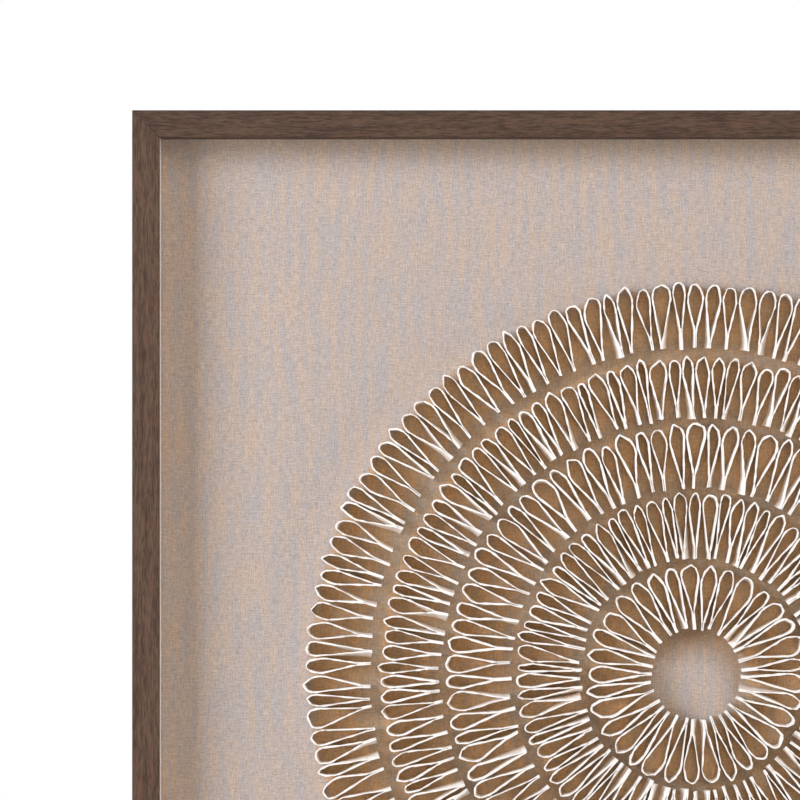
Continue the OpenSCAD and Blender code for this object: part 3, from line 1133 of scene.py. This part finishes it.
@dataclass
class LinenCover:
    """Linen drawn over the board and turned onto its back."""

    cloth: Material
    node: str = "linen_cover"
    skin: float = 0.5
    front_cells: int = 24
    bend_steps: int = 3

    @property
    def half(self) -> float:
        """Half the width of the covered board."""
        return BOX.side / 2 - BOX.back_face_w - BOX.board_play

    def profile(self) -> list[Pair]:
        """Gives the cloth's middle line from the edge of its front round to the hem.

        Returns:
            Pairs of half-width and level, from the front inwards at the back.
        """
        # The middles of the bends lie a whole thickness in, and half of it is their radius.
        bend = BOX.linen_t / 2
        front = BOX.linen_level - 2 * bend
        back = BOX.hem_level + 2 * bend
        side = self.half - 2 * bend
        turns = [math.radians(90.0 * step / self.bend_steps) for step in range(self.bend_steps + 1)]
        line = [(side + bend * math.sin(turn), front + bend * math.cos(turn)) for turn in turns]
        line += [(side + bend * math.cos(turn), back - bend * math.sin(turn)) for turn in turns]
        return line + [(self.half - BOX.hem_w, back - bend)]

    def build(self) -> Piece:
        """Returns:
            The finished cloth.
        """
        line = self.profile()
        front, front_level = line[0]
        steps = [math.dist(a, b) for a, b in zip(line, line[1:])]
        reach = [front + sum(steps[:i]) for i in range(len(line))]
        bm = bmesh.new()
        cut = bm.loops.layers.uv.new("cut")
        flat: list[Pair] = []

        def vert(x: float, y: float, level: float, u: float, v: float) -> bmesh.types.BMVert:
            """Adds a point of the cloth, by its place in the box and on the flat piece."""
            flat.append((u * MM, v * MM))
            return bm.verts.new(BOX.upright(x, y, level))

        cells = self.front_cells
        ticks = [front * (2 * i / cells - 1) for i in range(cells + 1)]
        grid = [[vert(x, y, front_level, x, y) for x in ticks] for y in ticks]
        for low, high in zip(grid, grid[1:]):
            for i in range(cells):
                bm.faces.new((low[i], low[i + 1], high[i + 1], high[i]))
        right, left = [row[-1] for row in grid[:-1]], [row[0] for row in grid[:0:-1]]
        rim = grid[0][:-1] + right + grid[-1][:0:-1] + left
        bm.verts.index_update()
        shares = [tuple(part / (front * MM) for part in flat[point.index]) for point in rim]
        last = rim
        for (half, level), far in zip(line[1:], reach[1:]):
            ring = [vert(half * a, half * b, level, far * a, far * b) for a, b in shares]
            for i in range(len(ring)):
                j = (i + 1) % len(ring)
                bm.faces.new((last[j], last[i], ring[i], ring[j]))
            last = ring
        bm.verts.index_update()
        for face in bm.faces:
            face.smooth = True
            for loop in face.loops:
                loop[cut].uv = flat[loop.vert.index]
        mesh = bpy.data.meshes.new("linen_cloth")
        bm.normal_update()
        bm.to_mesh(mesh)
        bm.free()
        mesh.materials.append(self.cloth)
        piece = placed("linen_cloth", mesh)
        body = piece.modifiers.new("cloth_thickness", "SOLIDIFY")
        body.thickness = self.skin * MM
        body.offset = 0.0
        settle(piece, self.node)
        return piece


def settle(piece: Piece, node: str) -> Piece:
    """Puts a piece in the place of a solid of the part.

    Args:
        piece: The finished piece.
        node: The solid that it stands for.

    Returns:
        The piece.
    """
    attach(piece, BODY)
    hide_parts(node)
    return piece


@dataclass
class FrameWork:
    """Rails, boards and hardware that keep the solids of the part and get their finishes."""

    steel: PlatedSteel = PlatedSteel("zinc_plate", (0.62, 0.63, 0.64), (0.44, 0.45, 0.46))
    yellow: PlatedSteel = PlatedSteel("yellow_zinc", (0.74, 0.58, 0.27), (0.56, 0.42, 0.20))
    board: PressedBoard = PressedBoard("mount_fibreboard", (0.42, 0.27, 0.135), (0.50, 0.33, 0.18))
    back: PressedBoard = PressedBoard("back_hardboard", (0.215, 0.118, 0.056), (0.290, 0.170, 0.086), 0.35)
    wood: RailWood = field(default_factory=RailWood)
    rubber: BumperRubber = field(default_factory=BumperRubber)

    def finishes(self) -> dict[str, Material]:
        """Builds the finishes.

        Returns:
            The finish of each solid that is kept.
        """
        level = self.wood.material(Grain.LEVEL)
        upright = self.wood.material(Grain.UPRIGHT)
        zinc = self.steel.material()
        yellow = self.yellow.material()
        rubber = self.rubber.material()
        return {
            "frame_rail_top": level, "frame_rail_bottom": level,
            "frame_rail_left": upright, "frame_rail_right": upright,
            "mount_board": self.board.material(), "back_cover": self.back.material(),
            "corner_nails": zinc, "retaining_points": zinc, "hanger_nails": zinc,
            "hanger_left": yellow, "hanger_right": yellow,
            "wall_bumper_left": rubber, "wall_bumper_right": rubber,
        }

    def dress(self) -> None:
        """Gives each kept solid its finish."""
        for node, material in self.finishes().items():
            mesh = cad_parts[node].data
            mesh.materials.clear()
            mesh.materials.append(material)
            log.info("%s: %s", node, material.name)


class Standing(Enum):
    """Which side of the box a light stands on, along the depth."""

    FRONT = -1.0
    BEHIND = 1.0


@dataclass(frozen=True)
class Softbox:
    """A large soft light that faces one point of the box.

    Attributes:
        name: What the light is called.
        side: How far it stands to the right, per metre in front of or behind the box.
        rise: How far it stands above, per metre in front of or behind the box.
        level: What a white front or back gets from it.
        size: Its width and height, in metres.
        standing: The side of the box that it lights.
        far: How far it stands from the box, in metres.
        trim: The factor on its level.
    """

    name: str
    side: float
    rise: float
    level: Colour
    size: Pair
    standing: Standing = Standing.FRONT
    far: float = 5.0
    trim: float = 1.02

    def hang(self, aim: Vector) -> None:
        """Hangs the light.

        Args:
            aim: The point that it faces and where its level is right.
        """
        ray = Vector((self.side, self.standing.value, self.rise)).normalized()
        top = max(self.level)
        lamp = bpy.data.lights.new(self.name, "AREA")
        lamp.shape = "RECTANGLE"
        lamp.size, lamp.size_y = self.size
        lamp.color = tuple(part / top for part in self.level)
        lamp.energy = self.trim * top * (math.pi * self.far) ** 2 / abs(ray.y)
        holder = placed(self.name, lamp)
        holder.location = aim + ray * self.far
        holder.rotation_mode = "QUATERNION"
        holder.rotation_quaternion = (-ray).to_track_quat("-Z", "Y")
        holder.visible_camera = False


@dataclass
class Studio:
    """Pale floor, soft lights from the side, above, in front and behind, and a weak fill from all round."""

    lights: tuple[Softbox, ...] = (
        Softbox("low_side_softbox", -1.30, -0.05, (0.265, 0.220, 0.165), (2.5, 1.3)),
        Softbox("high_side_softbox", -1.30, 0.55, (0.322, 0.410, 0.535), (2.5, 2.2)),
        Softbox("top_softbox", 0.30, 0.58, (0.228, 0.212, 0.188), (5.0, 2.8)),
        Softbox("front_softbox", 0.10, -0.05, (0.115, 0.080, 0.030), (1.2, 1.2)),
        Softbox("edge_softbox", 3.20, 0.15, (0.102, 0.091, 0.084), (2.0, 2.0)),
        Softbox("back_softbox", 0.45, 0.26, (0.500, 0.475, 0.455), (2.4, 1.8), Standing.BEHIND),
    )
    aim: Triple = (-0.17, 0.0, 0.45)
    surround: Colour = (0.035, 0.030, 0.030)
    floor_half: float = 4.5
    floor_cells: int = 8
    floor_cloud: float = 1.6
    floor_tones: tuple[Colour, Colour] = ((0.80, 0.79, 0.78), (0.84, 0.83, 0.82))

    def floor(self) -> None:
        """Lays a large pale floor under the box."""
        bm = bmesh.new()
        cells = self.floor_cells
        bmesh.ops.create_grid(bm, x_segments=cells, y_segments=cells, size=self.floor_half)
        mesh = bpy.data.meshes.new("studio_floor")
        bm.to_mesh(mesh)
        bm.free()
        coat = Coat.start("studio_floor")
        tone = coat.wiring.blend(coat.wiring.noise(coat.place, self.floor_cloud, 3), *self.floor_tones)
        mesh.materials.append(coat.set(Base_Color=tone, Roughness=0.9, Specular_IOR_Level=0.1))
        placed("studio_floor", mesh)

    def world(self) -> None:
        """Makes the world: a warm fill that shows as plain white to the camera and to gloss."""
        world = bpy.data.worlds.new("studio")
        bpy.context.scene.world = world
        world.use_nodes = True
        wire = Wiring(world.node_tree)
        plain = world.node_tree.nodes["Background"]
        ray = wire.add("ShaderNodeLightPath")
        seen = wire.math("MAXIMUM", ray.outputs["Is Camera Ray"], ray.outputs["Is Glossy Ray"])
        seen = wire.math("MAXIMUM", seen, ray.outputs["Is Transmission Ray"])
        wire.feed(plain.inputs["Color"], wire.blend(seen, self.surround, (1.0, 1.0, 1.0)))
        plain.inputs["Strength"].default_value = 1.0

    def build(self) -> None:
        """Sets up floor, fill and lights."""
        bpy.context.scene.view_settings.view_transform = "Standard"
        self.floor()
        self.world()
        for light in self.lights:
            light.hang(Vector(self.aim))


@dataclass
class PhotoCamera:
    """Camera square on to the picture, on its upper left part."""

    aim: Pair = (-170.9, 483.3)
    far: float = 5000.0
    across: float = 460.16
    sensor_w: float = 36.0
    clip: Pair = (0.1, 100.0)

    def build(self) -> None:
        """Sets up the camera."""
        lens = bpy.data.cameras.new("photo_camera")
        lens.sensor_width = self.sensor_w
        lens.lens = self.sensor_w * self.far / self.across
        lens.clip_start, lens.clip_end = self.clip
        holder = placed("photo_camera", lens)
        holder.location = Vector((self.aim[0], BOX.front_y - self.far, self.aim[1])) * MM
        holder.rotation_euler = (math.pi / 2, 0.0, 0.0)
        bpy.context.scene.camera = holder


def main() -> None:
    """Builds the scene piece by piece and reports each."""
    logging.basicConfig(level=logging.INFO, format="%(name)s: %(message)s")
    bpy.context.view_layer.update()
    Studio().build()
    PhotoCamera().build()
    FrameWork().dress()
    cloth = LinenCover(LinenWeave().material()).build()
    log.info("%s: %d faces", cloth.name, len(cloth.data.polygons))
    rule = LoopRule()
    sweep = LoopSweep()
    paper = StripPaper().material()
    for number, node in enumerate(RING_NODES):
        piece = LoopRing(node, number, rule, sweep, paper).build()
        log.info("%s: %d loops, %d faces", piece.name, rule.counts[number], len(piece.data.polygons))


if __name__ == "__main__":
    main()
